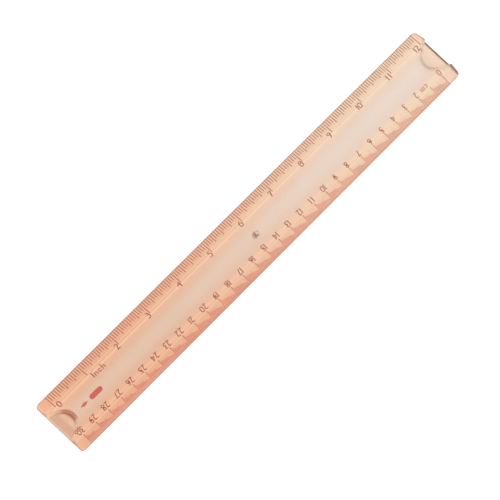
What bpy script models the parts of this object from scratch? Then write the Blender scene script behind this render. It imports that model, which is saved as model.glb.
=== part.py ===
"""A clear, tinted desk ruler, 12 inches along one edge and 30 centimetres along the other.

The ruler is one injection moulding: thin sloping margins, a short step and a thick flat
middle, with a thumb scoop in each end and the mark of the moulding gate in the centre.
The scales are ink, printed on the flat underside and read through the plastic, so each
mark is a thin flake that lies just under the moulding.

Frame: +X runs from the 0 inch end to the 12 inch end, +Y points at the inch edge and +Z
is up. The origin is in the middle of the underside.
"""

import math

import bmesh
import bpy
from mathutils import Matrix

MM = 0.001

# Driving dimensions of the moulding, in millimetres.
LENGTH = 316.0
WIDTH = 34.0
THICKNESS = 3.6
EDGE_THICKNESS = 1.0
STEP_FOOT_HEIGHT = 2.9
STEP_FOOT_WIDTH = 20.8
PLATEAU_WIDTH = 17.2
CORNER_RADIUS = 2.5
CORNER_STEPS = 6

# Thumb scoops: the outline is a blunt bell that opens through the end face.
SCOOP_LENGTH = 11.5
SCOOP_HALF_WIDTH = 10.2
SCOOP_BLUNTNESS = 2.4
SCOOP_FLOOR = 0.9
SCOOP_WALL_RUN = 1.5
SCOOP_FILLET = 0.35
SCOOP_POINTS = 20
SCOOP_LEVELS = 3
SCOOP_MARGIN = 2.0

# Gate mark: a dish with a stub in it, left where the plastic came in.
GATE_X = 1.5
GATE_Y = -0.4
DISH_RADIUS = 1.9
DISH_DEPTH = 0.5
STUB_RADIUS = 1.2
STUB_TOP_RADIUS = 1.0
STUB_RECESS = 0.06
STUB_ROOT = 0.05
GATE_SIDES = 24

# Printed ink, which lies under the moulding.
INK = 0.04
INK_GAP = 0.02
UNDERSIDE = INK + INK_GAP
TICK_WIDTH = 0.34
HAIRLINE = 0.14
TICK_START = WIDTH / 2 - 0.35

# Inch scale, read with the inch edge away from the reader.
INCH = 25.4
INCH_COUNT = 12
INCH_PARTS = 16
INCH_ZERO_MARGIN = 7.8
INCH_ZERO = INCH_ZERO_MARGIN - LENGTH / 2
INCH_TICK = 7.7
QUARTER_TICK = 5.4
FINE_TICK = 4.15
INCH_NUMERAL_Y = 9.15
INCH_SHIFT = -1.75
INCH_HIGH_SHIFT = -2.75
INCH_HIGH = 9
INCH_ZERO_SHIFT = 2.5
INCH_LAST_SHIFT = -3.6
INCH_LABEL_SHIFT = 6.4
INCH_LABEL_Y = 7.4

# Centimetre scale, printed the other way up and counted from the far end.
CENTIMETRE = 10.0
CM_COUNT = 30
CM_PARTS = 10
CM_ZERO_MARGIN = 8.6
CM_ZERO = LENGTH / 2 - CM_ZERO_MARGIN
CM_TICK = 6.6
HALF_CM_TICK = 4.3
MM_TICK_BASE = 2.2
MM_TICK_RISE = 0.29
CM_NUMERAL_Y = -8.1
CM_LABEL_SHIFT = -3.3

NUMERAL_HEIGHT = 3.0
INCH_WIDEN = 1.35
CM_WIDEN = 1.15
LABEL_HEIGHT = 2.8
INCH_LETTER_HEIGHT = 1.9
CM_LETTER_HEIGHT = 1.5
LABEL_WIDEN = 1.3
GLYPH_GAP = 0.45
TWIN_ONES_GAP = 1.5
LABEL_GAP = 0.9
WELD = 1e-5

# The hairline that joins the characters of one numeral, a little thinner than the ink.
JOIN_LIFT = 0.03
JOIN_RELIEF = 0.005

# A plain printed bar and diamond, near the 0 inch end.
BAR_LENGTH = 9.2
BAR_HEIGHT = 2.8
BAR_X = -128.7
DIAMOND_WIDTH = 5.8
DIAMOND_HEIGHT = 2.0
DIAMOND_X = -138.0

PLASTIC_COLOUR = (0.88, 0.56, 0.42, 1.0)
DARK_INK_COLOUR = (0.45, 0.045, 0.02, 1.0)
BRIGHT_INK_COLOUR = (0.72, 0.08, 0.05, 1.0)


def clear_scene():
    """Remove whatever the file holds."""
    for obj in list(bpy.data.objects):
        bpy.data.objects.remove(obj, do_unlink=True)


def material(name, colour, roughness, transmission=0.0):
    """Return a plain Principled material."""
    result = bpy.data.materials.new(name)
    result.use_nodes = True
    shader = result.node_tree.nodes["Principled BSDF"]
    shader.inputs["Base Color"].default_value = colour
    shader.inputs["Roughness"].default_value = roughness
    shader.inputs["Metallic"].default_value = 0.0
    shader.inputs["Transmission Weight"].default_value = transmission
    return result


def add_object(name, bm, mat=None):
    """Turn a bmesh whose lengths are millimetres into a named object in metres."""
    bmesh.ops.scale(bm, vec=(MM, MM, MM), verts=bm.verts)
    bmesh.ops.recalc_face_normals(bm, faces=bm.faces)
    mesh = bpy.data.meshes.new(name)
    bm.to_mesh(mesh)
    bm.free()
    obj = bpy.data.objects.new(name, mesh)
    bpy.context.collection.objects.link(obj)
    if mat:
        mesh.materials.append(mat)
    return obj


def prism(outline, bottom, top):
    """Return a bmesh of a plan outline, raised from one height to another."""
    bm = bmesh.new()
    face = bm.faces.new([bm.verts.new((x, y, bottom)) for x, y in outline])
    raised = bmesh.ops.extrude_face_region(bm, geom=[face])
    moved = [item for item in raised["geom"] if isinstance(item, bmesh.types.BMVert)]
    bmesh.ops.translate(bm, vec=(0.0, 0.0, top - bottom), verts=moved)
    return bm


def cut(target, tool, operation="DIFFERENCE"):
    """Give an object a Boolean with a hidden tool."""
    tool.hide_render = True
    tool.display_type = "WIRE"
    boolean = target.modifiers.new(tool.name, "BOOLEAN")
    boolean.operation = operation
    boolean.solver = "EXACT"
    boolean.object = tool


def moulding_section():
    """Return the half section of the moulding from the edge to the middle, as (y, z)."""
    return [
        (WIDTH / 2, UNDERSIDE),
        (WIDTH / 2, EDGE_THICKNESS),
        (STEP_FOOT_WIDTH / 2, STEP_FOOT_HEIGHT),
        (PLATEAU_WIDTH / 2, THICKNESS),
    ]


def moulding_bar():
    """Return the moulding's section, run along the full length with square ends."""
    half = moulding_section()
    section = half + [(-y, z) for y, z in reversed(half)]
    bm = bmesh.new()
    start = -LENGTH / 2
    face = bm.faces.new([bm.verts.new((start, y, z)) for y, z in section])
    raised = bmesh.ops.extrude_face_region(bm, geom=[face])
    moved = [item for item in raised["geom"] if isinstance(item, bmesh.types.BMVert)]
    bmesh.ops.translate(bm, vec=(LENGTH, 0.0, 0.0), verts=moved)
    return bm


def rounded_plan():
    """Return the ruler's plan outline, a rectangle with round corners."""
    outline = []
    inner_x = LENGTH / 2 - CORNER_RADIUS
    inner_y = WIDTH / 2 - CORNER_RADIUS
    for quarter, (side_x, side_y) in enumerate(((1, 1), (-1, 1), (-1, -1), (1, -1))):
        for step in range(CORNER_STEPS + 1):
            angle = (quarter + step / CORNER_STEPS) * math.pi / 2
            x = side_x * inner_x + CORNER_RADIUS * math.cos(angle)
            y = side_y * inner_y + CORNER_RADIUS * math.sin(angle)
            outline.append((x, y))
    return outline


def scoop_outline(inset):
    """Return a scoop's outline at one level, as (distance from the end face, y)."""
    length = SCOOP_LENGTH - inset
    half_width = SCOOP_HALF_WIDTH - inset / 2
    outline = [(-SCOOP_MARGIN, -half_width)]
    for step in range(SCOOP_POINTS + 1):
        across = 2.0 * step / SCOOP_POINTS - 1.0
        depth = length * (1.0 - abs(across) ** SCOOP_BLUNTNESS)
        outline.append((depth, half_width * across))
    outline.append((-SCOOP_MARGIN, half_width))
    return outline


def scoop_tool(end):
    """Return the cutter for the scoop at one end, -1 for the 0 inch end and 1 for the other."""
    slope = math.atan2(THICKNESS - SCOOP_FLOOR, SCOOP_WALL_RUN)
    tangent = SCOOP_FILLET * math.tan(slope / 2)
    levels = []
    for level in range(SCOOP_LEVELS + 1):
        angle = slope * level / SCOOP_LEVELS
        inset = SCOOP_WALL_RUN + tangent - SCOOP_FILLET * math.sin(angle)
        levels.append((inset, SCOOP_FLOOR + SCOOP_FILLET * (1.0 - math.cos(angle))))
    levels.append((0.0, THICKNESS))
    levels.append((0.0, THICKNESS + SCOOP_MARGIN))
    bm = bmesh.new()
    rings = []
    for inset, height in levels:
        outline = scoop_outline(inset)
        rings.append([bm.verts.new((end * (LENGTH / 2 - x), y, height)) for x, y in outline])
    for lower, upper in zip(rings, rings[1:]):
        for index in range(len(lower)):
            after = (index + 1) % len(lower)
            bm.faces.new((lower[index], lower[after], upper[after], upper[index]))
    bm.faces.new(rings[0])
    bm.faces.new(rings[-1])
    return bm


def round_tool(low_radius, high_radius, low, high):
    """Return an upright round tool at the gate, with these radii and heights."""
    bm = bmesh.new()
    bmesh.ops.create_cone(
        bm,
        cap_ends=True,
        segments=GATE_SIDES,
        radius1=low_radius,
        radius2=high_radius,
        depth=high - low,
        matrix=Matrix.Translation((GATE_X, GATE_Y, (low + high) / 2)),
    )
    return bm


def cut_gate_mark(body):
    """Dish the flat middle at the gate and leave a stub standing in the dish."""
    floor = THICKNESS - DISH_DEPTH
    dish = round_tool(DISH_RADIUS - DISH_DEPTH, DISH_RADIUS + DISH_DEPTH, floor, THICKNESS + DISH_DEPTH)
    cut(body, add_object("dish_tool", dish))
    stub = round_tool(STUB_RADIUS, STUB_TOP_RADIUS, floor - STUB_ROOT, THICKNESS - STUB_RECESS)
    cut(body, add_object("stub_tool", stub), "UNION")


def build_moulding(mat):
    """Build the clear moulding with its round corners, scoops and gate mark."""
    body = add_object("ruler_body", moulding_bar(), mat)
    plan = prism(rounded_plan(), -SCOOP_MARGIN, THICKNESS + SCOOP_MARGIN)
    cut(body, add_object("plan_tool", plan), "INTERSECT")
    cut(body, add_object("near_scoop_tool", scoop_tool(-1)))
    cut(body, add_object("far_scoop_tool", scoop_tool(1)))
    cut_gate_mark(body)


def comb_outline(ticks):
    """Return the outline of ticks that hang from a hairline, as (along, down) points.

    ticks is a list of (place along the scale, length), in order along the scale.
    """
    half = TICK_WIDTH / 2
    outline = [(ticks[-1][0] + half, 0.0), (ticks[0][0] - half, 0.0)]
    for place, length in ticks:
        if place != ticks[0][0]:
            outline.append((place - half, HAIRLINE))
        outline.append((place - half, length))
        outline.append((place + half, length))
        if place != ticks[-1][0]:
            outline.append((place + half, HAIRLINE))
    return outline


def inch_tick_length(index):
    """Return the length of one sixteenth-inch tick."""
    if index % INCH_PARTS == 0:
        return INCH_TICK
    if index % (INCH_PARTS // 4) == 0:
        return QUARTER_TICK
    return FINE_TICK


def cm_tick_length(index):
    """Return the length of one millimetre tick: they climb towards each centimetre."""
    part = index % CM_PARTS
    if part == 0:
        return CM_TICK
    if part == CM_PARTS // 2:
        return HALF_CM_TICK
    return MM_TICK_BASE + MM_TICK_RISE * part


def build_graduations(mat):
    """Build the two combs of ticks, each one thin flake of ink along its edge."""
    step = INCH / INCH_PARTS
    ticks = [(INCH_ZERO + i * step, inch_tick_length(i)) for i in range(INCH_COUNT * INCH_PARTS + 1)]
    outline = [(x, TICK_START - down) for x, down in comb_outline(ticks)]
    add_object("inch_graduations", prism(outline, 0.0, INK), mat)

    step = CENTIMETRE / CM_PARTS
    ticks = [(i * step, cm_tick_length(i)) for i in range(CM_COUNT * CM_PARTS + 1)]
    outline = [(CM_ZERO - x, down - TICK_START) for x, down in comb_outline(ticks)]
    add_object("cm_graduations", prism(outline, 0.0, INK), mat)


def glyph(character, height, widen):
    """Return a bmesh of one character, its left edge on x = 0 and its foot on y = 0."""
    curve = bpy.data.curves.new("glyph", "FONT")
    curve.body = character
    curve.size = 1.0
    curve.extrude = 0.5
    curve.resolution_u = 2
    curve.render_resolution_u = 0
    holder = bpy.data.objects.new("glyph", curve)
    bpy.context.collection.objects.link(holder)
    mesh = bpy.data.meshes.new_from_object(holder.evaluated_get(bpy.context.evaluated_depsgraph_get()))
    bpy.data.objects.remove(holder, do_unlink=True)
    bm = bmesh.new()
    bm.from_mesh(mesh)
    bmesh.ops.remove_doubles(bm, verts=bm.verts, dist=WELD)
    low_x = min(v.co.x for v in bm.verts)
    low_y = min(v.co.y for v in bm.verts)
    high_y = max(v.co.y for v in bm.verts)
    scale = height / (high_y - low_y)
    bmesh.ops.translate(bm, vec=(-low_x, -low_y, 0.5), verts=bm.verts)
    bmesh.ops.scale(bm, vec=(scale * widen, scale, INK), verts=bm.verts)
    return bm


def moved_mesh(bm, shift):
    """Turn a bmesh into a mesh, moved along x."""
    bmesh.ops.translate(bm, vec=(shift, 0.0, 0.0), verts=bm.verts)
    mesh = bpy.data.meshes.new("glyph")
    bm.to_mesh(mesh)
    bm.free()
    return mesh


def fused(first, second):
    """Return the union of two meshes as a new mesh."""
    base = bpy.data.objects.new("base", first)
    other = bpy.data.objects.new("other", second)
    for obj in (base, other):
        bpy.context.collection.objects.link(obj)
    cut(base, other, "UNION")
    base.modifiers[0].use_self = True
    result = bpy.data.meshes.new_from_object(base.evaluated_get(bpy.context.evaluated_depsgraph_get()))
    for obj in (base, other):
        bpy.data.objects.remove(obj, do_unlink=True)
    return result


def word(characters, height, widen, small_height=None, gap=GLYPH_GAP):
    """Return a bmesh of one or more characters as a single flake, centred on the origin.

    A hairline along the foot joins the characters where there are two or more. widen
    stretches them along the scale. small_height is for the letters that have no upright.
    """
    uprights = "hI0123456789"
    letters = []
    feet = []
    right = 0.0
    gap = TWIN_ONES_GAP if characters == "11" else gap
    for character in characters:
        tall = small_height is None or character in uprights
        letter = glyph(character, height if tall else small_height, widen)
        letter_width = max(v.co.x for v in letter.verts)
        low = [v.co.x for v in letter.verts if v.co.y < HAIRLINE]
        feet.append(right + (min(low) + max(low)) / 2)
        letters.append(moved_mesh(letter, right))
        right += letter_width + gap
    width = right - gap
    joined = letters[0]
    if len(letters) > 1:
        high = JOIN_LIFT + HAIRLINE
        outline = [(feet[0], JOIN_LIFT), (feet[-1], JOIN_LIFT), (feet[-1], high), (feet[0], high)]
        joined = moved_mesh(prism(outline, JOIN_RELIEF, INK - JOIN_RELIEF), 0.0)
        for letter in letters:
            joined = fused(joined, letter)
    bm = bmesh.new()
    bm.from_mesh(joined)
    bmesh.ops.translate(bm, vec=(-width / 2, -height / 2, 0.0), verts=bm.verts)
    return bm


def place(bm, x, y, turned=False):
    """Move flat characters to their place, turned end for end for the centimetre side."""
    if turned:
        bmesh.ops.rotate(bm, matrix=Matrix.Rotation(math.pi, 3, "Z"), verts=bm.verts)
    bmesh.ops.translate(bm, vec=(x, y, 0.0), verts=bm.verts)
    return bm


def inch_shift(number):
    """Return how far along its tick an inch numeral stands."""
    if number == 0:
        return INCH_ZERO_SHIFT
    if number == INCH_COUNT:
        return INCH_LAST_SHIFT
    return INCH_SHIFT if number < INCH_HIGH else INCH_HIGH_SHIFT


def build_numerals(mat):
    """Build every numeral and unit label as a flake of ink of its own."""
    for number in range(INCH_COUNT + 1):
        x = INCH_ZERO + number * INCH
        if number == 1:
            label = word("Inch", LABEL_HEIGHT, LABEL_WIDEN, INCH_LETTER_HEIGHT, LABEL_GAP)
            add_object("inch_label", place(label, x + INCH_LABEL_SHIFT, INCH_LABEL_Y), mat)
            continue
        numeral = word(str(number), NUMERAL_HEIGHT, INCH_WIDEN)
        numeral = place(numeral, x + inch_shift(number), INCH_NUMERAL_Y)
        add_object(f"inch_numeral_{number:02d}", numeral, mat)
    for number in range(CM_COUNT + 1):
        x = CM_ZERO - number * CENTIMETRE
        if number == 1:
            label = word("cm", CM_LETTER_HEIGHT, LABEL_WIDEN, gap=LABEL_GAP)
            add_object("cm_label", place(label, x + CM_LABEL_SHIFT, CM_NUMERAL_Y, turned=True), mat)
            continue
        numeral = word(str(number), NUMERAL_HEIGHT, CM_WIDEN)
        numeral = place(numeral, x, CM_NUMERAL_Y, turned=True)
        add_object(f"cm_numeral_{number:02d}", numeral, mat)


def build_marks(bar_mat, diamond_mat):
    """Build the plain printed bar and the plain printed diamond."""
    half = BAR_HEIGHT / 2
    outline = []
    for side in (1, -1):
        for step in range(CORNER_STEPS + 1):
            angle = -math.pi / 2 + math.pi * step / CORNER_STEPS
            x = BAR_X + side * (BAR_LENGTH / 2 - half + half * math.cos(angle))
            outline.append((x, side * half * math.sin(angle)))
    add_object("printed_bar", prism(outline, 0.0, INK), bar_mat)
    outline = [
        (DIAMOND_X - DIAMOND_WIDTH / 2, 0.0),
        (DIAMOND_X, -DIAMOND_HEIGHT / 2),
        (DIAMOND_X + DIAMOND_WIDTH / 2, 0.0),
        (DIAMOND_X, DIAMOND_HEIGHT / 2),
    ]
    add_object("printed_diamond", prism(outline, 0.0, INK), diamond_mat)


def main():
    """Build the ruler."""
    clear_scene()
    plastic = material("tinted_clear_plastic", PLASTIC_COLOUR, 0.08, 0.9)
    dark_ink = material("dark_red_ink", DARK_INK_COLOUR, 0.45)
    bright_ink = material("bright_red_ink", BRIGHT_INK_COLOUR, 0.45)
    build_moulding(plastic)
    build_graduations(dark_ink)
    build_numerals(dark_ink)
    build_marks(bright_ink, dark_ink)


main()
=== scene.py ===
"""The looks of a clear, salmon-tinted desk ruler with red print under it."""

import math

import bmesh
import bpy
from mathutils import Matrix, Vector


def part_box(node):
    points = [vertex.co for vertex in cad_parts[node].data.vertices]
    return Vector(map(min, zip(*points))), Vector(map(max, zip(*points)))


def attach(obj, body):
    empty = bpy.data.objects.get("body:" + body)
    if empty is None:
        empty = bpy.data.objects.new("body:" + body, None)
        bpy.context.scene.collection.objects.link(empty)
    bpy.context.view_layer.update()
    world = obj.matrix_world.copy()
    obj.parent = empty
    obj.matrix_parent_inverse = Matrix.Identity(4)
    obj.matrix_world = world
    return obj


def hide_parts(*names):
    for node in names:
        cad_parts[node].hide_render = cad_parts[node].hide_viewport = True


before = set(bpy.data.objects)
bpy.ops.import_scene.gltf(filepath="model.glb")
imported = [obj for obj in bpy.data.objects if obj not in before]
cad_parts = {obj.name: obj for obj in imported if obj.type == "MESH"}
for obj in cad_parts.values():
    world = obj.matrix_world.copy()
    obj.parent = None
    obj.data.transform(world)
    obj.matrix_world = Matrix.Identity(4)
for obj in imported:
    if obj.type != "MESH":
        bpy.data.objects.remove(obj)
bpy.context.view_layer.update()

MM = 0.001
BODY = "root"

# The moulding, in millimetres, from the frame's own boxes.
body_low, body_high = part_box("ruler_body")
LENGTH = (body_high.x - body_low.x) / MM
WIDTH = (body_high.y - body_low.y) / MM
THICKNESS = body_high.z / MM
UNDERSIDE = body_low.z / MM
EDGE_THICKNESS = 1.0
STEP_FOOT_HEIGHT = 2.9
STEP_FOOT = 10.4
PLATEAU_HALF = 8.6
CORNER_RADIUS = 2.5
STEP_SOFTNESS = 0.12
RIM_SOFTNESS = 0.14
EDGE_FILLET = 0.16
FILLET_STEPS = 4

# The thumb scoops.
SCOOP_LENGTH = 11.5
SCOOP_HALF_WIDTH = 10.2
SCOOP_BLUNTNESS = 2.4
SCOOP_FLOOR = 0.9
SCOOP_WALL_RUN = 1.5
SCOOP_FOOT_SOFTNESS = 0.35
SCOOP_RIM_SOFTNESS = 0.12

# The gate mark.
GATE_X = 1.5
GATE_Y = -0.4
DISH_RADIUS = 1.9
DISH_DEPTH = 0.5
STUB_RADIUS = 1.2
STUB_TOP_RADIUS = 1.0
STUB_RECESS = 0.06
GATE_SOFTNESS = 0.06

# The grid of the top face: where its columns and rows run closer, and their pitches.
CORNER_STEPS = 10
SCOOP_PITCH = 0.12
SCOOP_FIELD = 2.0
BLEND_START = SCOOP_LENGTH + 1.0
BLEND_END = SCOOP_LENGTH + 8.0
BLEND_PITCH = 1.0
PLAIN_PITCH = 8.0
GATE_LEFT = -3.0
GATE_FINE_LEFT = -1.0
GATE_RIGHT = 3.4
GATE_BOTTOM = -2.5
GATE_TOP = 1.7
GATE_PITCH = 0.25
GATE_FINE_PITCH = 0.07
MARGIN_PITCH = 1.2
STEP_FIELD = 0.5
STEP_PITCH = 0.1
MIDDLE_PITCH = 0.18

# The print.
INK_TOP = UNDERSIDE + 0.02
INK_BOTTOM = 0.0
TICK_WIDTH = 0.34
TICK_START = WIDTH / 2 - 0.20
INCH = 25.4
INCH_COUNT = 12
INCH_PARTS = 16
INCH_ZERO = 7.8 - LENGTH / 2
INCH_TICK = 7.7
QUARTER_TICK = 5.4
FINE_TICK = 4.15
CENTIMETRE = 10.0
CM_COUNT = 30
CM_PARTS = 10
CM_ZERO = LENGTH / 2 - 8.6
CM_TICK = 6.6
HALF_CM_TICK = 4.3
MM_TICK_BASE = 2.2
MM_TICK_RISE = 0.29
TICK_NOSE_SHARE = 0.6
BAR_END_STEPS = 12
GLYPH_RESOLUTION = 5
GLYPH_WELD = 1e-5
WIDEN = {"inch": 1.35, "cm": 1.15}
LABEL_WIDEN = 1.3
INCH_LETTER_SHARE = 0.68

# A fade is a pair: the value where it starts and the value where it is full. These two are
# the values that noise is eased between, for soft patches and for the rest.
NOISE_MIDDLE = (0.35, 0.65)
NOISE_WIDE = (0.3, 0.7)

# The tints across the section, at the 0 inch end and at the far end; their deeper tone towards
# the 0 inch end is painted shade. The scoops' fade is measured from where their floors end, in
# millimetres.
DRIFT_START = -0.12
DRIFT_END = 0.14
MARGIN_TINT_NEAR = (0.965, 0.665, 0.482, 1.0)
MARGIN_TINT_FAR = (0.99, 0.85, 0.71, 1.0)
SHOULDER_TINT_NEAR = (0.905, 0.70, 0.557, 1.0)
SHOULDER_TINT_FAR = (0.945, 0.857, 0.779, 1.0)
MIDDLE_TINT_NEAR = (0.918, 0.765, 0.652, 1.0)
MIDDLE_TINT_FAR = (0.945, 0.89, 0.832, 1.0)
SCOOP_TINT_NEAR = (0.86, 0.62, 0.47, 1.0)
SCOOP_TINT_FAR = (1.0, 0.862, 0.735, 1.0)
MIDDLE_FADE = (6.0 * MM, 1.0 * MM)
FLAT_FADE = (8.2 * MM, 6.2 * MM)
SCOOP_FADE = (-1.0, 2.0)
# Painted light: a paler band across the floor of the 0 inch scoop.
SCOOP_LIGHT_TINT = (0.97, 0.745, 0.605, 1.0)
SCOOP_LIGHT_X = 7.8
SCOOP_LIGHT_REACH = 0.6 * MM
SCOOP_LIGHT_SOFT = 2.6 * MM
CLOUD_TINT = (0.88, 0.68, 0.56, 1.0)
CLOUD_STRETCH = (14.0, 60.0, 60.0)
CLOUD_STRENGTH = 0.05

# Painted light and shade where the surface bends: highlights on the creases, shade on the walls
# that face the 0 inch end and the cm side and light on the other walls, shade along the 0 inch
# scoop's rim, both long rims, the far end and the gate scar, and a paler band at the 0 inch end.
CREASE_HIGHLIGHT_TINT = (1.0, 0.98, 0.88, 1.0)
CREASE_GLINT = 0.62
CM_CREASE_GLINT = 0.90
CREASE_REACH = 0.07 * MM
CREASE_SOFT = 0.24 * MM
SHADED_WALL_TINT = (0.49, 0.145, 0.066, 1.0)
LIT_WALL_TINT = (1.0, 0.93, 0.83, 1.0)
SHADE_TINT = (0.58, 0.305, 0.19, 1.0)
SHADE_MIDDLE = 0.80 * MM
SHADE_REACH = 0.90 * MM
SHADE_SOFT = 0.25 * MM
SHADE_Y = 1.4 * MM
SHADE_HALF_WIDTH = 2.8 * MM
SHADE_FADE = 5.0 * MM
RIM_SHADE_TINT = (0.72, 0.46, 0.34, 1.0)
RIM_SHADE_FADE = (0.6 * MM, 0.2 * MM)
END_FACE_DEPTH = 1.0 * MM
FAR_END_SHADE_TINT = (0.46, 0.28, 0.20, 1.0)
FAR_END_SHADE_FADE = (1.4 * MM, 0.7 * MM)
FAR_END_SHADE_SIDE_FADE = (10.5 * MM, 8.5 * MM)
NEAR_END_TINT = (0.89, 0.74, 0.67, 1.0)
NEAR_END_FADE = (1.3 * MM, 0.5 * MM)
SCAR_SHADE_TINT = (0.42, 0.22, 0.12, 1.0)
SCAR_RADIUS = 1.65 * MM
SCAR_BITE = 1.25 * MM
SCAR_BITE_X = 1.0 * MM
SCAR_BITE_Y = 0.35 * MM
SCAR_SOFT = 0.25 * MM

# How upright a face's normal is where a wall starts and where it is full, and which way the
# walls with painted shade face.
WALL_FADE = (0.92, 0.75)
FACING_X = -0.95
FACING_Y = -0.31
FACING_FADE = (0.48, 0.79)

# The surface: a faint haze, two sets of scratches, a slow flow, frosted walls and ends.
HAZE_SCALE = 260.0
CLEAR_ROUGHNESS = (0.005, 0.02)
SCRATCHES_ALONG = (30.0, 2600.0, 30.0)
SCRATCHES_ACROSS = (900.0, 120.0, 30.0)
SCRATCH_FADE = (0.66, 0.80)
SCRATCH_ROUGHNESS = 0.05
SCRATCH_HEIGHT = -0.05
FLOW_STRETCH = (18.0, 90.0, 90.0)
BUMP_STRENGTH = 0.12
BUMP_DISTANCE = 0.0002
WALL_ROUGHNESS = 0.2
END_ROUGHNESS = 0.9
END_FADE = (0.25 * MM, 0.1 * MM)

# The plastic's bulk.
PLASTIC_IOR = 1.55
DYE_COLOUR = (0.88, 0.42, 0.20, 1.0)
DYE_DENSITY = 12.0

# The inks: each drifts from the 0 inch end to the far end, with patches and pinholes.
INK_DRIFT = (-0.16, 0.16)
INK_PATCH_SCALE = 90.0
INK_PATCH_DRIFT = 0.25
DARK_INK_NEAR = (0.44, 0.035, 0.004, 1.0)
DARK_INK_FAR = (0.44, 0.10, 0.035, 1.0)
BRIGHT_INK_NEAR = (0.78, 0.09, 0.05, 1.0)
BRIGHT_INK_FAR = (0.78, 0.14, 0.10, 1.0)
PINHOLE = (0.80, 0.40, 0.25, 1.0)
PINHOLE_SCALE = 9000.0
PINHOLE_FADE = (0.62, 0.75)
PINHOLE_STRENGTH = 0.4
INK_GRAIN_SCALE = 3000.0
INK_ROUGHNESS = (0.4, 0.6)
INK_SPECULAR = 0.1

# The comb of millimetre ticks: its inks, its edge, its streaks and its lean outer corner.
CM_TICK_INK_NEAR = (0.80, 0.05, 0.015, 1.0)
CM_TICK_INK_FAR = (0.86, 0.26, 0.13, 1.0)
CM_TICK_FULL_INK = (0.52, 0.05, 0.01, 1.0)
CM_EDGE_INK = (0.84, 0.42, 0.42, 1.0)
COMB_FADE = (-10.4 * MM, -11.4 * MM)
STREAK_STRETCH = (420.0, 60.0, 60.0)
STREAK_FADE = (0.42, 0.68)
STREAK_STRENGTH = 0.8
CM_EDGE_FADE = (-14.2 * MM, -15.4 * MM)
CM_EDGE_STRENGTH = 0.9
CM_END_FADE = (-60.0 * MM, -95.0 * MM)

# The plain diamond is printed lean.
LEAN_INK = (0.66, 0.20, 0.10, 1.0)

# How often light may turn inside the plastic before it is lost.
INNER_BOUNCES = 24

# The floor and the dome of light.
FLOOR_SIZE = 6.0
FLOOR_DROP = 0.05 * MM
FLOOR_NOISE_SCALE = 3.0
FLOOR_DARKER = (0.93, 0.93, 0.93, 1.0)
FLOOR_PALER = (0.95, 0.95, 0.95, 1.0)
HORIZON_LIGHT = 0.76
ZENITH_LIGHT = 1.73
DOME_FADE = (0.02, 0.75)

# The camera: it looks down the ruler from beyond its 0 inch end, with a long lens.
CAMERA_TARGET = Vector((-6.4, -3.9, 0.0)) * MM
CAMERA_DISTANCE = 3.0
CAMERA_ELEVATION = math.radians(62.37)
CAMERA_AZIMUTH = math.radians(188.54)
CAMERA_ROLL = math.radians(35.44)
CAMERA_SENSOR = 36.0
CAMERA_LENS = 411.0
CAMERA_CLIP_END = 20.0


# ---------------------------------------------------------------- node helpers


def new_material(name):
    """Return a new node material, with its tree's nodes, links and Principled shader."""
    material = bpy.data.materials.new(name)
    material.use_nodes = True
    tree = material.node_tree
    return material, tree.nodes, tree.links, tree.nodes["Principled BSDF"]


def map_range(nodes, links, source, low, high, to_low, to_high):
    """Map a value from one range to another, clamped and eased."""
    node = nodes.new("ShaderNodeMapRange")
    node.interpolation_type = "SMOOTHSTEP"
    for name, value in (("From Min", low), ("From Max", high), ("To Min", to_low), ("To Max", to_high)):
        node.inputs[name].default_value = value
    links.new(source, node.inputs["Value"])
    return node.outputs["Result"]


def math_node(nodes, links, operation, first, second):
    """Add a Math node of two inputs, each a socket or a number."""
    node = nodes.new("ShaderNodeMath")
    node.operation = operation
    for index, value in enumerate((first, second)):
        if isinstance(value, (int, float)):
            node.inputs[index].default_value = value
        else:
            links.new(value, node.inputs[index])
    return node.outputs["Value"]


def mix_colour(nodes, links, factor, first, second):
    """Mix two colours, each a socket or four numbers, by a factor socket."""
    node = nodes.new("ShaderNodeMix")
    node.data_type = "RGBA"
    links.new(factor, node.inputs["Factor"])
    for name, value in (("A", first), ("B", second)):
        socket = [s for s in node.inputs if s.name == name and s.type == "RGBA"][0]
        if isinstance(value, tuple):
            socket.default_value = value
        else:
            links.new(value, socket)
    return [s for s in node.outputs if s.type == "RGBA"][0]


def noise(nodes, links, vector, scale, detail=3.0, roughness=0.5):
    """Add a noise texture and return its value."""
    node = nodes.new("ShaderNodeTexNoise")
    node.inputs["Scale"].default_value = scale
    node.inputs["Detail"].default_value = detail
    node.inputs["Roughness"].default_value = roughness
    links.new(vector, node.inputs["Vector"])
    return node.outputs["Fac"]


def stretched(nodes, links, vector, scale):
    """Return object coordinates scaled by three factors."""
    node = nodes.new("ShaderNodeMapping")
    node.inputs["Scale"].default_value = scale
    links.new(vector, node.inputs["Vector"])
    return node.outputs["Vector"]


# ------------------------------------------------------------------- materials


def span(nodes, links, source, middle, reach, soft):
    """Return 1 where a value is within reach of a middle value, easing to 0 over soft."""
    away = math_node(nodes, links, "SUBTRACT", source, middle)
    away = math_node(nodes, links, "ABSOLUTE", away, 0.0)
    return map_range(nodes, links, away, reach + soft, reach, 0.0, 1.0)


def disc(nodes, links, along, across, place, radius):
    """Return 1 inside a circle on the plan, easing to 0 across its edge."""
    out_x = math_node(nodes, links, "SUBTRACT", along, place[0])
    out_y = math_node(nodes, links, "SUBTRACT", across, place[1])
    out_x = math_node(nodes, links, "MULTIPLY", out_x, out_x)
    out_y = math_node(nodes, links, "MULTIPLY", out_y, out_y)
    away = math_node(nodes, links, "SQRT", math_node(nodes, links, "ADD", out_x, out_y), 0.0)
    return map_range(nodes, links, away, radius + SCAR_SOFT, radius - SCAR_SOFT, 0.0, 1.0)


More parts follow.
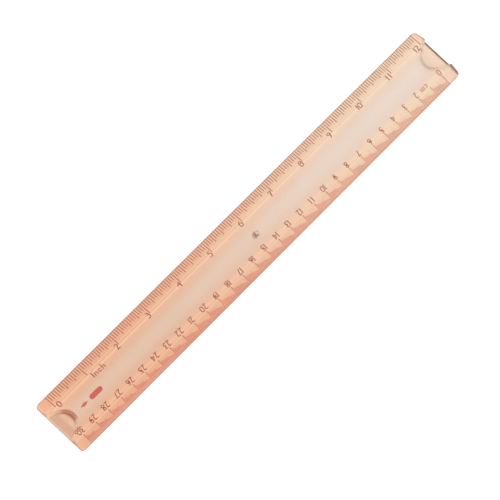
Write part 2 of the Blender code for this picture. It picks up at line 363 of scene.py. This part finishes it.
def section_tint(nodes, links, along, side):
    """Return the tint over the section: palest in the middle, richer towards the 0 inch end as painted
    shade, with a painted pale band in the 0 inch scoop.
    """
    drift = map_range(nodes, links, along, DRIFT_START, DRIFT_END, 0.0, 1.0)
    from_middle = math_node(nodes, links, "ABSOLUTE", along, 0.0)
    margin = mix_colour(nodes, links, drift, MARGIN_TINT_NEAR, MARGIN_TINT_FAR)
    shoulder = mix_colour(nodes, links, drift, SHOULDER_TINT_NEAR, SHOULDER_TINT_FAR)
    middle = mix_colour(nodes, links, drift, MIDDLE_TINT_NEAR, MIDDLE_TINT_FAR)
    scoop = mix_colour(nodes, links, drift, SCOOP_TINT_NEAR, SCOOP_TINT_FAR)
    # Painted light: a paler band across the 0 inch scoop's floor.
    scoop_light_x = (SCOOP_LIGHT_X - LENGTH / 2) * MM
    scoop_light = span(nodes, links, along, scoop_light_x, SCOOP_LIGHT_REACH, SCOOP_LIGHT_SOFT)
    scoop = mix_colour(nodes, links, scoop_light, scoop, SCOOP_LIGHT_TINT)
    inner = map_range(nodes, links, side, *MIDDLE_FADE, 0.0, 1.0)
    flat = map_range(nodes, links, side, *FLAT_FADE, 0.0, 1.0)
    floor_end = LENGTH / 2 - SCOOP_LENGTH + SCOOP_WALL_RUN
    start, full = [(floor_end + shift) * MM for shift in SCOOP_FADE]
    scooped = map_range(nodes, links, from_middle, start, full, 0.0, 1.0)
    scooped = math_node(nodes, links, "MULTIPLY", scooped, flat)
    tint = mix_colour(nodes, links, inner, shoulder, middle)
    tint = mix_colour(nodes, links, flat, margin, tint)
    return mix_colour(nodes, links, scooped, tint, scoop)


def scoop_inside(nodes, links, along, side):
    """Return how far inside the nearer scoop's outline a point is, along the ruler."""
    share = math_node(nodes, links, "DIVIDE", side, SCOOP_HALF_WIDTH * MM)
    lost = math_node(nodes, links, "POWER", share, SCOOP_BLUNTNESS)
    lost = math_node(nodes, links, "MULTIPLY", lost, SCOOP_LENGTH * MM)
    from_middle = math_node(nodes, links, "ABSOLUTE", along, 0.0)
    inside = math_node(nodes, links, "SUBTRACT", from_middle, (LENGTH / 2 - SCOOP_LENGTH) * MM)
    return math_node(nodes, links, "SUBTRACT", inside, lost)


def scoop_shade(nodes, links, along, across, inside):
    """Return 1 along the rim of the 0 inch scoop, fading out towards its two ends."""
    near_rim = span(nodes, links, inside, SHADE_MIDDLE, SHADE_REACH, SHADE_SOFT)
    near = map_range(nodes, links, along, 0.0, -LENGTH / 4 * MM, 0.0, 1.0)
    near_rim = math_node(nodes, links, "MULTIPLY", near_rim, near)
    central = span(nodes, links, across, SHADE_Y, SHADE_HALF_WIDTH, SHADE_FADE)
    return math_node(nodes, links, "MULTIPLY", near_rim, central)


def plastic_tint(nodes, links, place, wall, shaded_facing):
    """Return the tint of the whole surface and a paler 0 inch end, with painted light and shade
    on its creases, walls, rims, far end and gate scar.
    """
    split = nodes.new("ShaderNodeSeparateXYZ")
    links.new(place, split.inputs["Vector"])
    along, across = split.outputs["X"], split.outputs["Y"]
    side = math_node(nodes, links, "ABSOLUTE", across, 0.0)
    half_length = LENGTH / 2 * MM
    half_width = WIDTH / 2 * MM
    tint = section_tint(nodes, links, along, side)

    cloud = noise(nodes, links, stretched(nodes, links, place, CLOUD_STRETCH), 1.0)
    cloud = map_range(nodes, links, cloud, *NOISE_MIDDLE, 0.0, CLOUD_STRENGTH)
    tint = mix_colour(nodes, links, cloud, tint, CLOUD_TINT)

    # Painted highlights along the creases of the steps, stronger on the cm side.
    upper = span(nodes, links, side, PLATEAU_HALF * MM, CREASE_REACH, CREASE_SOFT)
    lower = span(nodes, links, side, STEP_FOOT * MM, CREASE_REACH, CREASE_SOFT)
    crease_highlight = math_node(nodes, links, "MAXIMUM", upper, lower)
    foot = STEP_FOOT * MM
    glint = map_range(nodes, links, across, -foot, foot, CM_CREASE_GLINT, CREASE_GLINT)
    crease_highlight = math_node(nodes, links, "MULTIPLY", crease_highlight, glint)
    tint = mix_colour(nodes, links, crease_highlight, tint, CREASE_HIGHLIGHT_TINT)

    # Painted shade along both long rims.
    start, full = [half_width - inward for inward in RIM_SHADE_FADE]
    rim_shade = map_range(nodes, links, side, start, full, 0.0, 1.0)
    tint = mix_colour(nodes, links, rim_shade, tint, RIM_SHADE_TINT)
    inside = scoop_inside(nodes, links, along, side)
    shade = scoop_shade(nodes, links, along, across, inside)
    tint = mix_colour(nodes, links, shade, tint, SHADE_TINT)
    # Painted shade on the walls that face the 0 inch end and the cm side, but not on the end face, and
    # painted light on the other walls.
    inboard = map_range(nodes, links, along, -half_length, -half_length + END_FACE_DEPTH, 0.0, 1.0)
    shaded_facing = math_node(nodes, links, "MULTIPLY", shaded_facing, inboard)
    wall_light_and_shade = mix_colour(nodes, links, shaded_facing, LIT_WALL_TINT, SHADED_WALL_TINT)
    tint = mix_colour(nodes, links, wall, tint, wall_light_and_shade)

    # Painted shade along the far end, except on the inch side.
    start, full = [half_length - inward for inward in FAR_END_SHADE_FADE]
    far_end_shade = map_range(nodes, links, along, start, full, 0.0, 1.0)
    below = map_range(nodes, links, across, *FAR_END_SHADE_SIDE_FADE, 0.0, 1.0)
    far_end_shade = math_node(nodes, links, "MULTIPLY", far_end_shade, below)
    tint = mix_colour(nodes, links, far_end_shade, tint, FAR_END_SHADE_TINT)
    start, full = [inward - half_length for inward in NEAR_END_FADE]
    near_end = map_range(nodes, links, along, start, full, 0.0, 1.0)
    tint = mix_colour(nodes, links, near_end, tint, NEAR_END_TINT)

    # Painted shade: a dark crescent in the gate scar, a disc with a bite taken out of it.
    gate = (GATE_X * MM, GATE_Y * MM)
    scar_shade = disc(nodes, links, along, across, gate, SCAR_RADIUS)
    bite = (gate[0] + SCAR_BITE_X, gate[1] + SCAR_BITE_Y)
    bitten = disc(nodes, links, along, across, bite, SCAR_BITE)
    spared = math_node(nodes, links, "SUBTRACT", 1.0, bitten)
    scar_shade = math_node(nodes, links, "MULTIPLY", scar_shade, spared)
    return mix_colour(nodes, links, scar_shade, tint, SCAR_SHADE_TINT)


def plastic_material():
    """Clear polystyrene with a salmon dye and painted light and shade: glossy flats, fine scratches and
    frosted walls.
    """
    material, nodes, links, shader = new_material("tinted_clear_plastic")
    place = nodes.new("ShaderNodeTexCoord").outputs["Object"]
    normal = nodes.new("ShaderNodeSeparateXYZ")
    links.new(nodes.new("ShaderNodeNewGeometry").outputs["Normal"], normal.inputs["Vector"])
    upright = math_node(nodes, links, "ABSOLUTE", normal.outputs["Z"], 0.0)
    wall = map_range(nodes, links, upright, *WALL_FADE, 0.0, 1.0)
    toward_x = math_node(nodes, links, "MULTIPLY", normal.outputs["X"], FACING_X)
    toward_y = math_node(nodes, links, "MULTIPLY", normal.outputs["Y"], FACING_Y)
    toward = math_node(nodes, links, "ADD", toward_x, toward_y)
    shaded_facing = map_range(nodes, links, toward, *FACING_FADE, 0.0, 1.0)
    links.new(plastic_tint(nodes, links, place, wall, shaded_facing), shader.inputs["Base Color"])

    haze = noise(nodes, links, place, HAZE_SCALE, detail=4.0, roughness=0.6)
    stretch = stretched(nodes, links, place, SCRATCHES_ALONG)
    scratch_one = noise(nodes, links, stretch, 1.0, detail=2.0)
    stretch = stretched(nodes, links, place, SCRATCHES_ACROSS)
    scratch_two = noise(nodes, links, stretch, 1.0, detail=2.0)
    lines = math_node(nodes, links, "MAXIMUM", scratch_one, scratch_two)
    marks = map_range(nodes, links, lines, *SCRATCH_FADE, 0.0, 1.0)
    base_roughness = map_range(nodes, links, haze, *NOISE_WIDE, *CLEAR_ROUGHNESS)
    worn = math_node(nodes, links, "MULTIPLY", marks, SCRATCH_ROUGHNESS)
    frost = math_node(nodes, links, "MULTIPLY", wall, WALL_ROUGHNESS)
    roughness = math_node(nodes, links, "ADD", base_roughness, worn)
    roughness = math_node(nodes, links, "ADD", roughness, frost)
    split = nodes.new("ShaderNodeSeparateXYZ")
    links.new(place, split.inputs["Vector"])
    from_middle = math_node(nodes, links, "ABSOLUTE", split.outputs["X"], 0.0)
    start, full = [LENGTH / 2 * MM - inward for inward in END_FADE]
    sawn = map_range(nodes, links, from_middle, start, full, 0.0, END_ROUGHNESS)
    roughness = math_node(nodes, links, "MAXIMUM", roughness, sawn)
    links.new(roughness, shader.inputs["Roughness"])

    flow = noise(nodes, links, stretched(nodes, links, place, FLOW_STRETCH), 1.0, detail=2.0)
    height = math_node(nodes, links, "MULTIPLY", marks, SCRATCH_HEIGHT)
    height = math_node(nodes, links, "ADD", flow, height)
    bump = nodes.new("ShaderNodeBump")
    bump.inputs["Strength"].default_value = BUMP_STRENGTH
    bump.inputs["Distance"].default_value = BUMP_DISTANCE
    links.new(height, bump.inputs["Height"])
    links.new(bump.outputs["Normal"], shader.inputs["Normal"])

    shader.inputs["IOR"].default_value = PLASTIC_IOR
    shader.inputs["Transmission Weight"].default_value = 1.0
    absorb = nodes.new("ShaderNodeVolumeAbsorption")
    absorb.inputs["Color"].default_value = DYE_COLOUR
    absorb.inputs["Density"].default_value = DYE_DENSITY
    output = nodes["Material Output"]
    links.new(absorb.outputs["Volume"], output.inputs["Volume"])
    return material


def ink_material(name, near_colour, far_colour, cm_near=None, cm_far=None):
    """Screen-printed ink: a thin film that gets leaner along the ruler, with pinholes.

    The two cm colours are the ink's tones in the comb of millimetre ticks, where it is leanest.
    """
    material, nodes, links, shader = new_material(name)
    place = nodes.new("ShaderNodeTexCoord").outputs["Object"]
    split = nodes.new("ShaderNodeSeparateXYZ")
    links.new(place, split.inputs["Vector"])
    along, across = split.outputs["X"], split.outputs["Y"]
    drift = map_range(nodes, links, along, *INK_DRIFT, 0.0, 1.0)
    patches = noise(nodes, links, place, INK_PATCH_SCALE, detail=2.0)
    patches = map_range(nodes, links, patches, *NOISE_MIDDLE, -INK_PATCH_DRIFT, INK_PATCH_DRIFT)
    drift = math_node(nodes, links, "ADD", drift, patches)
    pinholes = noise(nodes, links, place, PINHOLE_SCALE, detail=2.0)
    pinholes = map_range(nodes, links, pinholes, *PINHOLE_FADE, 0.0, PINHOLE_STRENGTH)
    tone = mix_colour(nodes, links, drift, near_colour, far_colour)
    if cm_near:
        edge = map_range(nodes, links, across, *COMB_FADE, 0.0, 1.0)
        stretch = stretched(nodes, links, place, STREAK_STRETCH)
        streaks = noise(nodes, links, stretch, 1.0, detail=2.0)
        streaks = map_range(nodes, links, streaks, *STREAK_FADE, 0.0, STREAK_STRENGTH)
        comb = mix_colour(nodes, links, drift, cm_near, cm_far)
        comb = mix_colour(nodes, links, streaks, comb, CM_TICK_FULL_INK)
        rimward = map_range(nodes, links, across, *CM_EDGE_FADE, 0.0, CM_EDGE_STRENGTH)
        endward = map_range(nodes, links, along, *CM_END_FADE, 0.0, 1.0)
        lean = math_node(nodes, links, "MULTIPLY", rimward, endward)
        comb = mix_colour(nodes, links, lean, comb, CM_EDGE_INK)
        tone = mix_colour(nodes, links, edge, tone, comb)
    tone = mix_colour(nodes, links, pinholes, tone, PINHOLE)
    links.new(tone, shader.inputs["Base Color"])
    grain = noise(nodes, links, place, INK_GRAIN_SCALE)
    roughness = map_range(nodes, links, grain, *NOISE_WIDE, *INK_ROUGHNESS)
    links.new(roughness, shader.inputs["Roughness"])
    shader.inputs["Specular IOR Level"].default_value = INK_SPECULAR
    return material


def floor_material():
    """A plain white sheet."""
    material, nodes, links, shader = new_material("white_floor")
    place = nodes.new("ShaderNodeTexCoord").outputs["Object"]
    tone = noise(nodes, links, place, FLOOR_NOISE_SCALE)
    tone = map_range(nodes, links, tone, *NOISE_WIDE, 0.0, 1.0)
    colour = mix_colour(nodes, links, tone, FLOOR_DARKER, FLOOR_PALER)
    links.new(colour, shader.inputs["Base Color"])
    shader.inputs["Roughness"].default_value = 1.0
    shader.inputs["Specular IOR Level"].default_value = 0.0
    return material


# ------------------------------------------------------------- the clear moulding


def smooth_min(first, second, softness):
    """Return the lesser of two heights, eased where they meet."""
    near = max(softness - abs(first - second), 0.0) / softness
    return min(first, second) - near * near * softness / 4


def section_height(y):
    """Return the height of the moulding's top face at a distance from its middle line."""
    side = abs(y)
    margin_slope = (STEP_FOOT_HEIGHT - EDGE_THICKNESS) / (WIDTH / 2 - STEP_FOOT)
    margin = EDGE_THICKNESS + (WIDTH / 2 - side) * margin_slope
    step_slope = (THICKNESS - STEP_FOOT_HEIGHT) / (STEP_FOOT - PLATEAU_HALF)
    step = STEP_FOOT_HEIGHT + (STEP_FOOT - side) * step_slope
    foot = -smooth_min(-margin, -step, STEP_SOFTNESS)
    return smooth_min(THICKNESS, foot, RIM_SOFTNESS)


def scoop_height(depth, y):
    """Return the height of a scoop's surface at a depth from the end face."""
    across = abs(y) / SCOOP_HALF_WIDTH
    outline = SCOOP_LENGTH * (1.0 - across**SCOOP_BLUNTNESS)
    lean = SCOOP_LENGTH * SCOOP_BLUNTNESS / SCOOP_HALF_WIDTH * across ** (SCOOP_BLUNTNESS - 1.0)
    inside = (outline - depth) / math.hypot(1.0, lean)
    wall = THICKNESS - inside * (THICKNESS - SCOOP_FLOOR) / SCOOP_WALL_RUN
    return -smooth_min(-SCOOP_FLOOR, -wall, SCOOP_FOOT_SOFTNESS)


def gate_height(x, y):
    """Return the height of the gate mark's surface: a dish with a stub standing in it."""
    radius = math.hypot(x - GATE_X, y - GATE_Y)
    floor = THICKNESS - DISH_DEPTH
    dish = max(THICKNESS + radius - DISH_RADIUS, floor)
    stub_slope = (DISH_DEPTH - STUB_RECESS) / (STUB_RADIUS - STUB_TOP_RADIUS)
    stub = floor + (STUB_RADIUS - radius) * stub_slope
    stub = smooth_min(stub, THICKNESS - STUB_RECESS, GATE_SOFTNESS)
    return max(dish, stub)


def top_height(x, y):
    """Return the height of the finished top face."""
    height = section_height(y)
    depth = LENGTH / 2 - abs(x)
    if depth < SCOOP_LENGTH + SCOOP_FIELD:
        height = smooth_min(height, scoop_height(depth, y), SCOOP_RIM_SOFTNESS)
    if math.hypot(x - GATE_X, y - GATE_Y) < DISH_RADIUS + DISH_DEPTH:
        height = smooth_min(height, gate_height(x, y), GATE_SOFTNESS)
    return height


def half_width_at(x):
    """Return the half width of the plan, which is less in the round corners."""
    depth = LENGTH / 2 - abs(x)
    if depth >= CORNER_RADIUS:
        return WIDTH / 2
    inward = CORNER_RADIUS - depth
    return WIDTH / 2 - CORNER_RADIUS + math.sqrt(max(CORNER_RADIUS**2 - inward**2, 0.0))


def spaced(low, high, step):
    """Return evenly spaced numbers from low up to, but not, high."""
    count = max(round((high - low) / step), 1)
    return [low + (high - low) * index / count for index in range(count)]


def column_places():
    """Return the x of each column of the top face: close in the corners, scoops and gate mark."""
    turns = [math.pi / 2 * k / CORNER_STEPS for k in range(CORNER_STEPS)]
    corner = [CORNER_RADIUS * (1.0 - math.cos(turn)) for turn in turns]
    scoop = spaced(CORNER_RADIUS, BLEND_START, SCOOP_PITCH)
    blend = spaced(BLEND_START, BLEND_END, BLEND_PITCH)
    plain_left = spaced(BLEND_END, LENGTH / 2 + GATE_LEFT, PLAIN_PITCH)
    plain_right = spaced(BLEND_END, LENGTH / 2 - GATE_RIGHT, PLAIN_PITCH)
    left = [depth - LENGTH / 2 for depth in corner + scoop + blend + plain_left]
    right = [LENGTH / 2 - depth for depth in corner + scoop + blend + plain_right]
    gate = spaced(GATE_LEFT, GATE_FINE_LEFT, GATE_PITCH)
    gate += spaced(GATE_FINE_LEFT, GATE_RIGHT, GATE_FINE_PITCH)
    return left + gate + [GATE_RIGHT] + right[::-1]


def row_places():
    """Return the nominal y of each row of the top face: close on the steps and gate mark."""
    margin = spaced(0.0, WIDTH / 2 - STEP_FOOT - STEP_FIELD, MARGIN_PITCH)
    margin = [WIDTH / 2 - y for y in margin]
    flat = PLATEAU_HALF - STEP_FIELD
    steps = spaced(flat, STEP_FOOT + STEP_FIELD, STEP_PITCH)
    middle = spaced(-flat, GATE_BOTTOM, MIDDLE_PITCH)
    middle += spaced(GATE_BOTTOM, GATE_TOP, GATE_FINE_PITCH)
    middle += spaced(GATE_TOP, flat, MIDDLE_PITCH)
    upper = steps + margin[::-1]
    return [-y for y in upper[::-1]] + middle[1:] + upper


def boundary_loop(columns, rows):
    """Return the grid indices round the edge of the top face, anticlockwise from above."""
    last_column, last_row = len(columns) - 1, len(rows) - 1
    loop = [(i, 0) for i in range(last_column)]
    loop += [(last_column, j) for j in range(last_row)]
    loop += [(i, last_row) for i in range(last_column, 0, -1)]
    loop += [(0, j) for j in range(last_row, 0, -1)]
    return loop


def plan_point(x, y_nominal):
    """Return the plan place of a grid point: the margins close up in the round corners."""
    half = half_width_at(x)
    if abs(y_nominal) <= STEP_FOOT:
        return x, y_nominal
    share = (abs(y_nominal) - STEP_FOOT) / (WIDTH / 2 - STEP_FOOT)
    return x, math.copysign(STEP_FOOT + share * (half - STEP_FOOT), y_nominal)


def outward(x, y):
    """Return the plan's outward direction at a point of its edge."""
    corner_x = max(abs(x) - (LENGTH / 2 - CORNER_RADIUS), 0.0)
    corner_y = max(abs(y) - (WIDTH / 2 - CORNER_RADIUS), 0.0)
    if corner_x == 0.0 and corner_y == 0.0:
        corner_y = 1.0
    length = math.hypot(corner_x, corner_y)
    return math.copysign(corner_x / length, x), math.copysign(corner_y / length, y)


def build_moulding(material):
    """Build the moulding as one closed mesh: a top grid, a wall with small fillets and a base."""
    columns, rows = column_places(), row_places()
    bm = bmesh.new()
    grid = {}
    for i, x in enumerate(columns):
        for j, y_nominal in enumerate(rows):
            px, py = plan_point(x, y_nominal)
            edge_x = LENGTH / 2 - EDGE_FILLET
            px = max(min(px, edge_x), -edge_x)
            limit = half_width_at(x) - EDGE_FILLET
            py = max(min(py, limit), -limit)
            grid[i, j] = bm.verts.new((px, py, top_height(px, py)))
    for i in range(len(columns) - 1):
        for j in range(len(rows) - 1):
            quad = (grid[i, j], grid[i + 1, j], grid[i + 1, j + 1], grid[i, j + 1])
            bm.faces.new(quad).smooth = True
    loop = boundary_loop(columns, rows)
    ring = [grid[key] for key in loop]
    starts = [vert.co.copy() for vert in ring]
    ways = [outward(*plan_point(columns[i], rows[j])) for i, j in loop]
    levels = []
    for k in range(1, FILLET_STEPS + 1):
        angle = math.pi / 2 * k / FILLET_STEPS
        levels.append((math.sin(angle), "top", 1.0 - math.cos(angle)))
    for k in range(FILLET_STEPS + 1):
        angle = math.pi / 2 * k / FILLET_STEPS
        levels.append((math.cos(angle), "base", 1.0 - math.sin(angle)))
    for out, side, fall in levels:
        new_ring = []
        for start, (way_x, way_y) in zip(starts, ways):
            height = start.z - fall * EDGE_FILLET
            if side == "base":
                height = UNDERSIDE + fall * EDGE_FILLET
            shift = out * EDGE_FILLET
            new_ring.append(bm.verts.new((start.x + way_x * shift, start.y + way_y * shift, height)))
        for index in range(len(ring)):
            after = (index + 1) % len(ring)
            quad = (ring[index], new_ring[index], new_ring[after], ring[after])
            bm.faces.new(quad).smooth = True
        ring = new_ring
    base = bm.faces.new(list(reversed(ring)))
    base.smooth = False
    for edge in base.edges:
        edge.smooth = False
    bmesh.ops.recalc_face_normals(bm, faces=bm.faces)
    bmesh.ops.scale(bm, vec=(MM, MM, MM), verts=bm.verts)
    return finish_piece("clear_moulding", bm, material, "tinted_clear_plastic", "ruler_body")


def finish_piece(name, bm, material, slot, *nodes):
    """Turn a bmesh in metres into a piece that stands for CAD nodes."""
    mesh = bpy.data.meshes.new(name)
    bm.to_mesh(mesh)
    bm.free()
    mesh.materials.append(material)
    piece = bpy.data.objects.new(name, mesh)
    bpy.context.collection.objects.link(piece)
    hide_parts(*nodes)
    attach(piece, BODY)
    return piece


# --------------------------------------------------------------------- the print


def add_prism(bm, outline):
    """Add a flake of ink with this outline, anticlockwise, in millimetres."""
    bottom = [bm.verts.new((x * MM, y * MM, INK_BOTTOM * MM)) for x, y in outline]
    top = [bm.verts.new((x * MM, y * MM, INK_TOP * MM)) for x, y in outline]
    bm.faces.new(top)
    bm.faces.new(bottom[::-1])
    for index in range(len(outline)):
        after = (index + 1) % len(outline)
        bm.faces.new((bottom[index], bottom[after], top[after], top[index]))


def tick_outline(x, start, end):
    """Return a tick's outline: a bar with a slightly rounded inner end."""
    half = TICK_WIDTH / 2
    way = 1.0 if end > start else -1.0
    shoulder = end - way * half * TICK_NOSE_SHARE
    nose = [
        (x + half, shoulder),
        (x + half * TICK_NOSE_SHARE, end),
        (x - half * TICK_NOSE_SHARE, end),
        (x - half, shoulder),
    ]
    outline = [(x - half, start), (x + half, start)] + nose
    return outline if way > 0 else outline[::-1]


def inch_tick_length(index):
    """Return the length of one sixteenth-inch tick."""
    if index % INCH_PARTS == 0:
        return INCH_TICK
    if index % (INCH_PARTS // 4) == 0:
        return QUARTER_TICK
    return FINE_TICK


def cm_tick_length(index):
    """Return the length of one millimetre tick: they climb towards each centimetre."""
    part = index % CM_PARTS
    if part == 0:
        return CM_TICK
    if part == CM_PARTS // 2:
        return HALF_CM_TICK
    return MM_TICK_BASE + MM_TICK_RISE * part


def build_ticks(ink):
    """Build the ticks of both scales, one piece for each."""
    bm = bmesh.new()
    for index in range(INCH_COUNT * INCH_PARTS + 1):
        x = INCH_ZERO + index * INCH / INCH_PARTS
        add_prism(bm, tick_outline(x, TICK_START, TICK_START - inch_tick_length(index)))
    finish_piece("inch_ticks", bm, ink, "dark_red_ink", "inch_graduations")
    bm = bmesh.new()
    for index in range(CM_COUNT * CM_PARTS + 1):
        x = CM_ZERO - index * CENTIMETRE / CM_PARTS
        add_prism(bm, tick_outline(x, -TICK_START, cm_tick_length(index) - TICK_START))
    finish_piece("cm_ticks", bm, ink, "dark_red_ink", "cm_graduations")


def glyph(character, height):
    """Return one character as a bmesh in metres, with its left edge and foot at 0."""
    curve = bpy.data.curves.new("glyph", "FONT")
    curve.body = character
    curve.size = 1.0
    curve.extrude = 0.5
    curve.resolution_u = GLYPH_RESOLUTION
    holder = bpy.data.objects.new("glyph", curve)
    bpy.context.collection.objects.link(holder)
    depsgraph = bpy.context.evaluated_depsgraph_get()
    mesh = bpy.data.meshes.new_from_object(holder.evaluated_get(depsgraph))
    bpy.data.objects.remove(holder, do_unlink=True)
    bm = bmesh.new()
    bm.from_mesh(mesh)
    bpy.data.meshes.remove(mesh)
    bmesh.ops.remove_doubles(bm, verts=bm.verts, dist=GLYPH_WELD)
    low_x = min(v.co.x for v in bm.verts)
    low_y = min(v.co.y for v in bm.verts)
    high_y = max(v.co.y for v in bm.verts)
    scale = height * MM / (high_y - low_y)
    bmesh.ops.translate(bm, vec=(-low_x, -low_y, 0.5), verts=bm.verts)
    bmesh.ops.scale(bm, vec=(scale, scale, (INK_TOP - INK_BOTTOM) * MM), verts=bm.verts)
    bmesh.ops.translate(bm, vec=(0.0, 0.0, INK_BOTTOM * MM), verts=bm.verts)
    return bm


def build_word(name, characters, heights, widen, node, ink):
    """Build characters to fill a CAD node's box, the right way up for its scale."""
    low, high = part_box(node)
    letters = []
    for character, height in zip(characters, heights):
        letter = glyph(character, height)
        bmesh.ops.scale(letter, vec=(widen, 1.0, 1.0), verts=letter.verts)
        letters.append(letter)
    widths = [max(v.co.x for v in letter.verts) for letter in letters]
    gap = (high.x - low.x - sum(widths)) / max(len(letters) - 1, 1)
    bm = bmesh.new()
    left = 0.0
    for letter, letter_width in zip(letters, widths):
        bmesh.ops.translate(letter, vec=(left, 0.0, 0.0), verts=letter.verts)
        left += letter_width + gap
        mesh = bpy.data.meshes.new("letter")
        letter.to_mesh(mesh)
        letter.free()
        bm.from_mesh(mesh)
        bpy.data.meshes.remove(mesh)
    middle = Vector(((left - gap) / 2, (high.y - low.y) / 2, 0.0))
    bmesh.ops.translate(bm, vec=-middle, verts=bm.verts)
    if low.y + high.y < 0.0:
        bmesh.ops.rotate(bm, matrix=Matrix.Rotation(math.pi, 3, "Z"), verts=bm.verts)
    centre = Vector(((low.x + high.x) / 2, (low.y + high.y) / 2, 0.0))
    bmesh.ops.translate(bm, vec=centre, verts=bm.verts)
    return finish_piece(name, bm, ink, "dark_red_ink", node)


def build_numerals(ink):
    """Build every numeral and unit label over its CAD node."""
    for node in sorted(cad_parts):
        if "_numeral_" not in node:
            continue
        scale_name, number = node.split("_numeral_")
        low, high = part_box(node)
        digits = str(int(number))
        heights = [(high.y - low.y) / MM] * len(digits)
        build_word(f"{scale_name}_digits_{number}", digits, heights, WIDEN[scale_name], node, ink)
    low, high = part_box("inch_label")
    tall = (high.y - low.y) / MM
    small = tall * INCH_LETTER_SHARE
    build_word("inch_word", "Inch", [tall, small, small, tall], LABEL_WIDEN, "inch_label", ink)
    low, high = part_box("cm_label")
    tall = (high.y - low.y) / MM
    build_word("cm_word", "cm", [tall, tall], LABEL_WIDEN, "cm_label", ink)


def build_marks(bright_ink, lean_ink):
    """Build the plain bar and diamond over their CAD nodes."""
    low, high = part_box("printed_bar")
    half = (high.y - low.y) / MM / 2
    centre_x = (low.x + high.x) / MM / 2
    reach = (high.x - low.x) / MM / 2 - half
    outline = []
    for side in (1, -1):
        for step in range(BAR_END_STEPS + 1):
            angle = -math.pi / 2 + math.pi * step / BAR_END_STEPS
            x = centre_x + side * (reach + half * math.cos(angle))
            outline.append((x, side * half * math.sin(angle)))
    bm = bmesh.new()
    add_prism(bm, outline)
    finish_piece("bar_mark", bm, bright_ink, "bright_red_ink", "printed_bar")
    low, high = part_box("printed_diamond")
    centre_x = (low.x + high.x) / MM / 2
    reach_x = (high.x - low.x) / MM / 2
    reach_y = (high.y - low.y) / MM / 2
    bm = bmesh.new()
    diamond = [(-reach_x, 0.0), (0.0, -reach_y), (reach_x, 0.0), (0.0, reach_y)]
    add_prism(bm, [(centre_x + x, y) for x, y in diamond])
    finish_piece("diamond_mark", bm, lean_ink, "dark_red_ink", "printed_diamond")


# ----------------------------------------------------------------- floor and light


def build_floor():
    """Lay a wide white floor just under the print."""
    bm = bmesh.new()
    bmesh.ops.create_grid(bm, x_segments=1, y_segments=1, size=FLOOR_SIZE)
    bmesh.ops.translate(bm, vec=(0.0, 0.0, -FLOOR_DROP), verts=bm.verts)
    mesh = bpy.data.meshes.new("floor")
    bm.to_mesh(mesh)
    bm.free()
    mesh.materials.append(floor_material())
    floor = bpy.data.objects.new("floor", mesh)
    bpy.context.collection.objects.link(floor)


def build_light():
    """Light the ruler with a soft white dome, and let light turn often inside the plastic."""
    scene = bpy.context.scene
    world = bpy.data.worlds.new("studio")
    scene.world = world
    world.use_nodes = True
    nodes, links = world.node_tree.nodes, world.node_tree.links
    background = nodes["Background"]
    direction = nodes.new("ShaderNodeTexCoord").outputs["Generated"]
    split = nodes.new("ShaderNodeSeparateXYZ")
    links.new(direction, split.inputs["Vector"])
    strength = map_range(nodes, links, split.outputs["Z"], *DOME_FADE, HORIZON_LIGHT, ZENITH_LIGHT)
    links.new(strength, background.inputs["Strength"])
    background.inputs["Color"].default_value = (1.0, 1.0, 1.0, 1.0)
    scene.view_settings.view_transform = "Standard"
    scene.view_settings.look = "None"
    scene.cycles.max_bounces = INNER_BOUNCES
    scene.cycles.glossy_bounces = INNER_BOUNCES
    scene.cycles.transmission_bounces = INNER_BOUNCES


def build_camera():
    """Aim a long lens along the ruler, rolled so that the ruler rises to the right."""
    elevation, azimuth = CAMERA_ELEVATION, CAMERA_AZIMUTH
    back = Vector(
        (
            math.cos(elevation) * math.cos(azimuth),
            math.cos(elevation) * math.sin(azimuth),
            math.sin(elevation),
        )
    )
    level_right = (-back).cross(Vector((0.0, 0.0, 1.0))).normalized()
    level_up = back.cross(level_right)
    right = level_right * math.cos(CAMERA_ROLL) + level_up * math.sin(CAMERA_ROLL)
    up = level_up * math.cos(CAMERA_ROLL) - level_right * math.sin(CAMERA_ROLL)
    data = bpy.data.cameras.new("camera")
    data.sensor_width = CAMERA_SENSOR
    data.lens = CAMERA_LENS
    data.clip_end = CAMERA_CLIP_END
    camera = bpy.data.objects.new("camera", data)
    bpy.context.collection.objects.link(camera)
    place = CAMERA_TARGET + back * CAMERA_DISTANCE
    turn = Matrix((right, up, back)).transposed().to_4x4()
    camera.matrix_world = Matrix.Translation(place) @ turn
    bpy.context.scene.camera = camera


build_camera()
dark_red_ink = ink_material(
    "dark_red_ink", DARK_INK_NEAR, DARK_INK_FAR, CM_TICK_INK_NEAR, CM_TICK_INK_FAR
)
bright_red_ink = ink_material("bright_red_ink", BRIGHT_INK_NEAR, BRIGHT_INK_FAR)
lean_red_ink = ink_material("lean_red_ink", LEAN_INK, LEAN_INK)
build_moulding(plastic_material())
build_ticks(dark_red_ink)
build_numerals(dark_red_ink)
build_marks(bright_red_ink, lean_red_ink)
build_floor()
build_light()
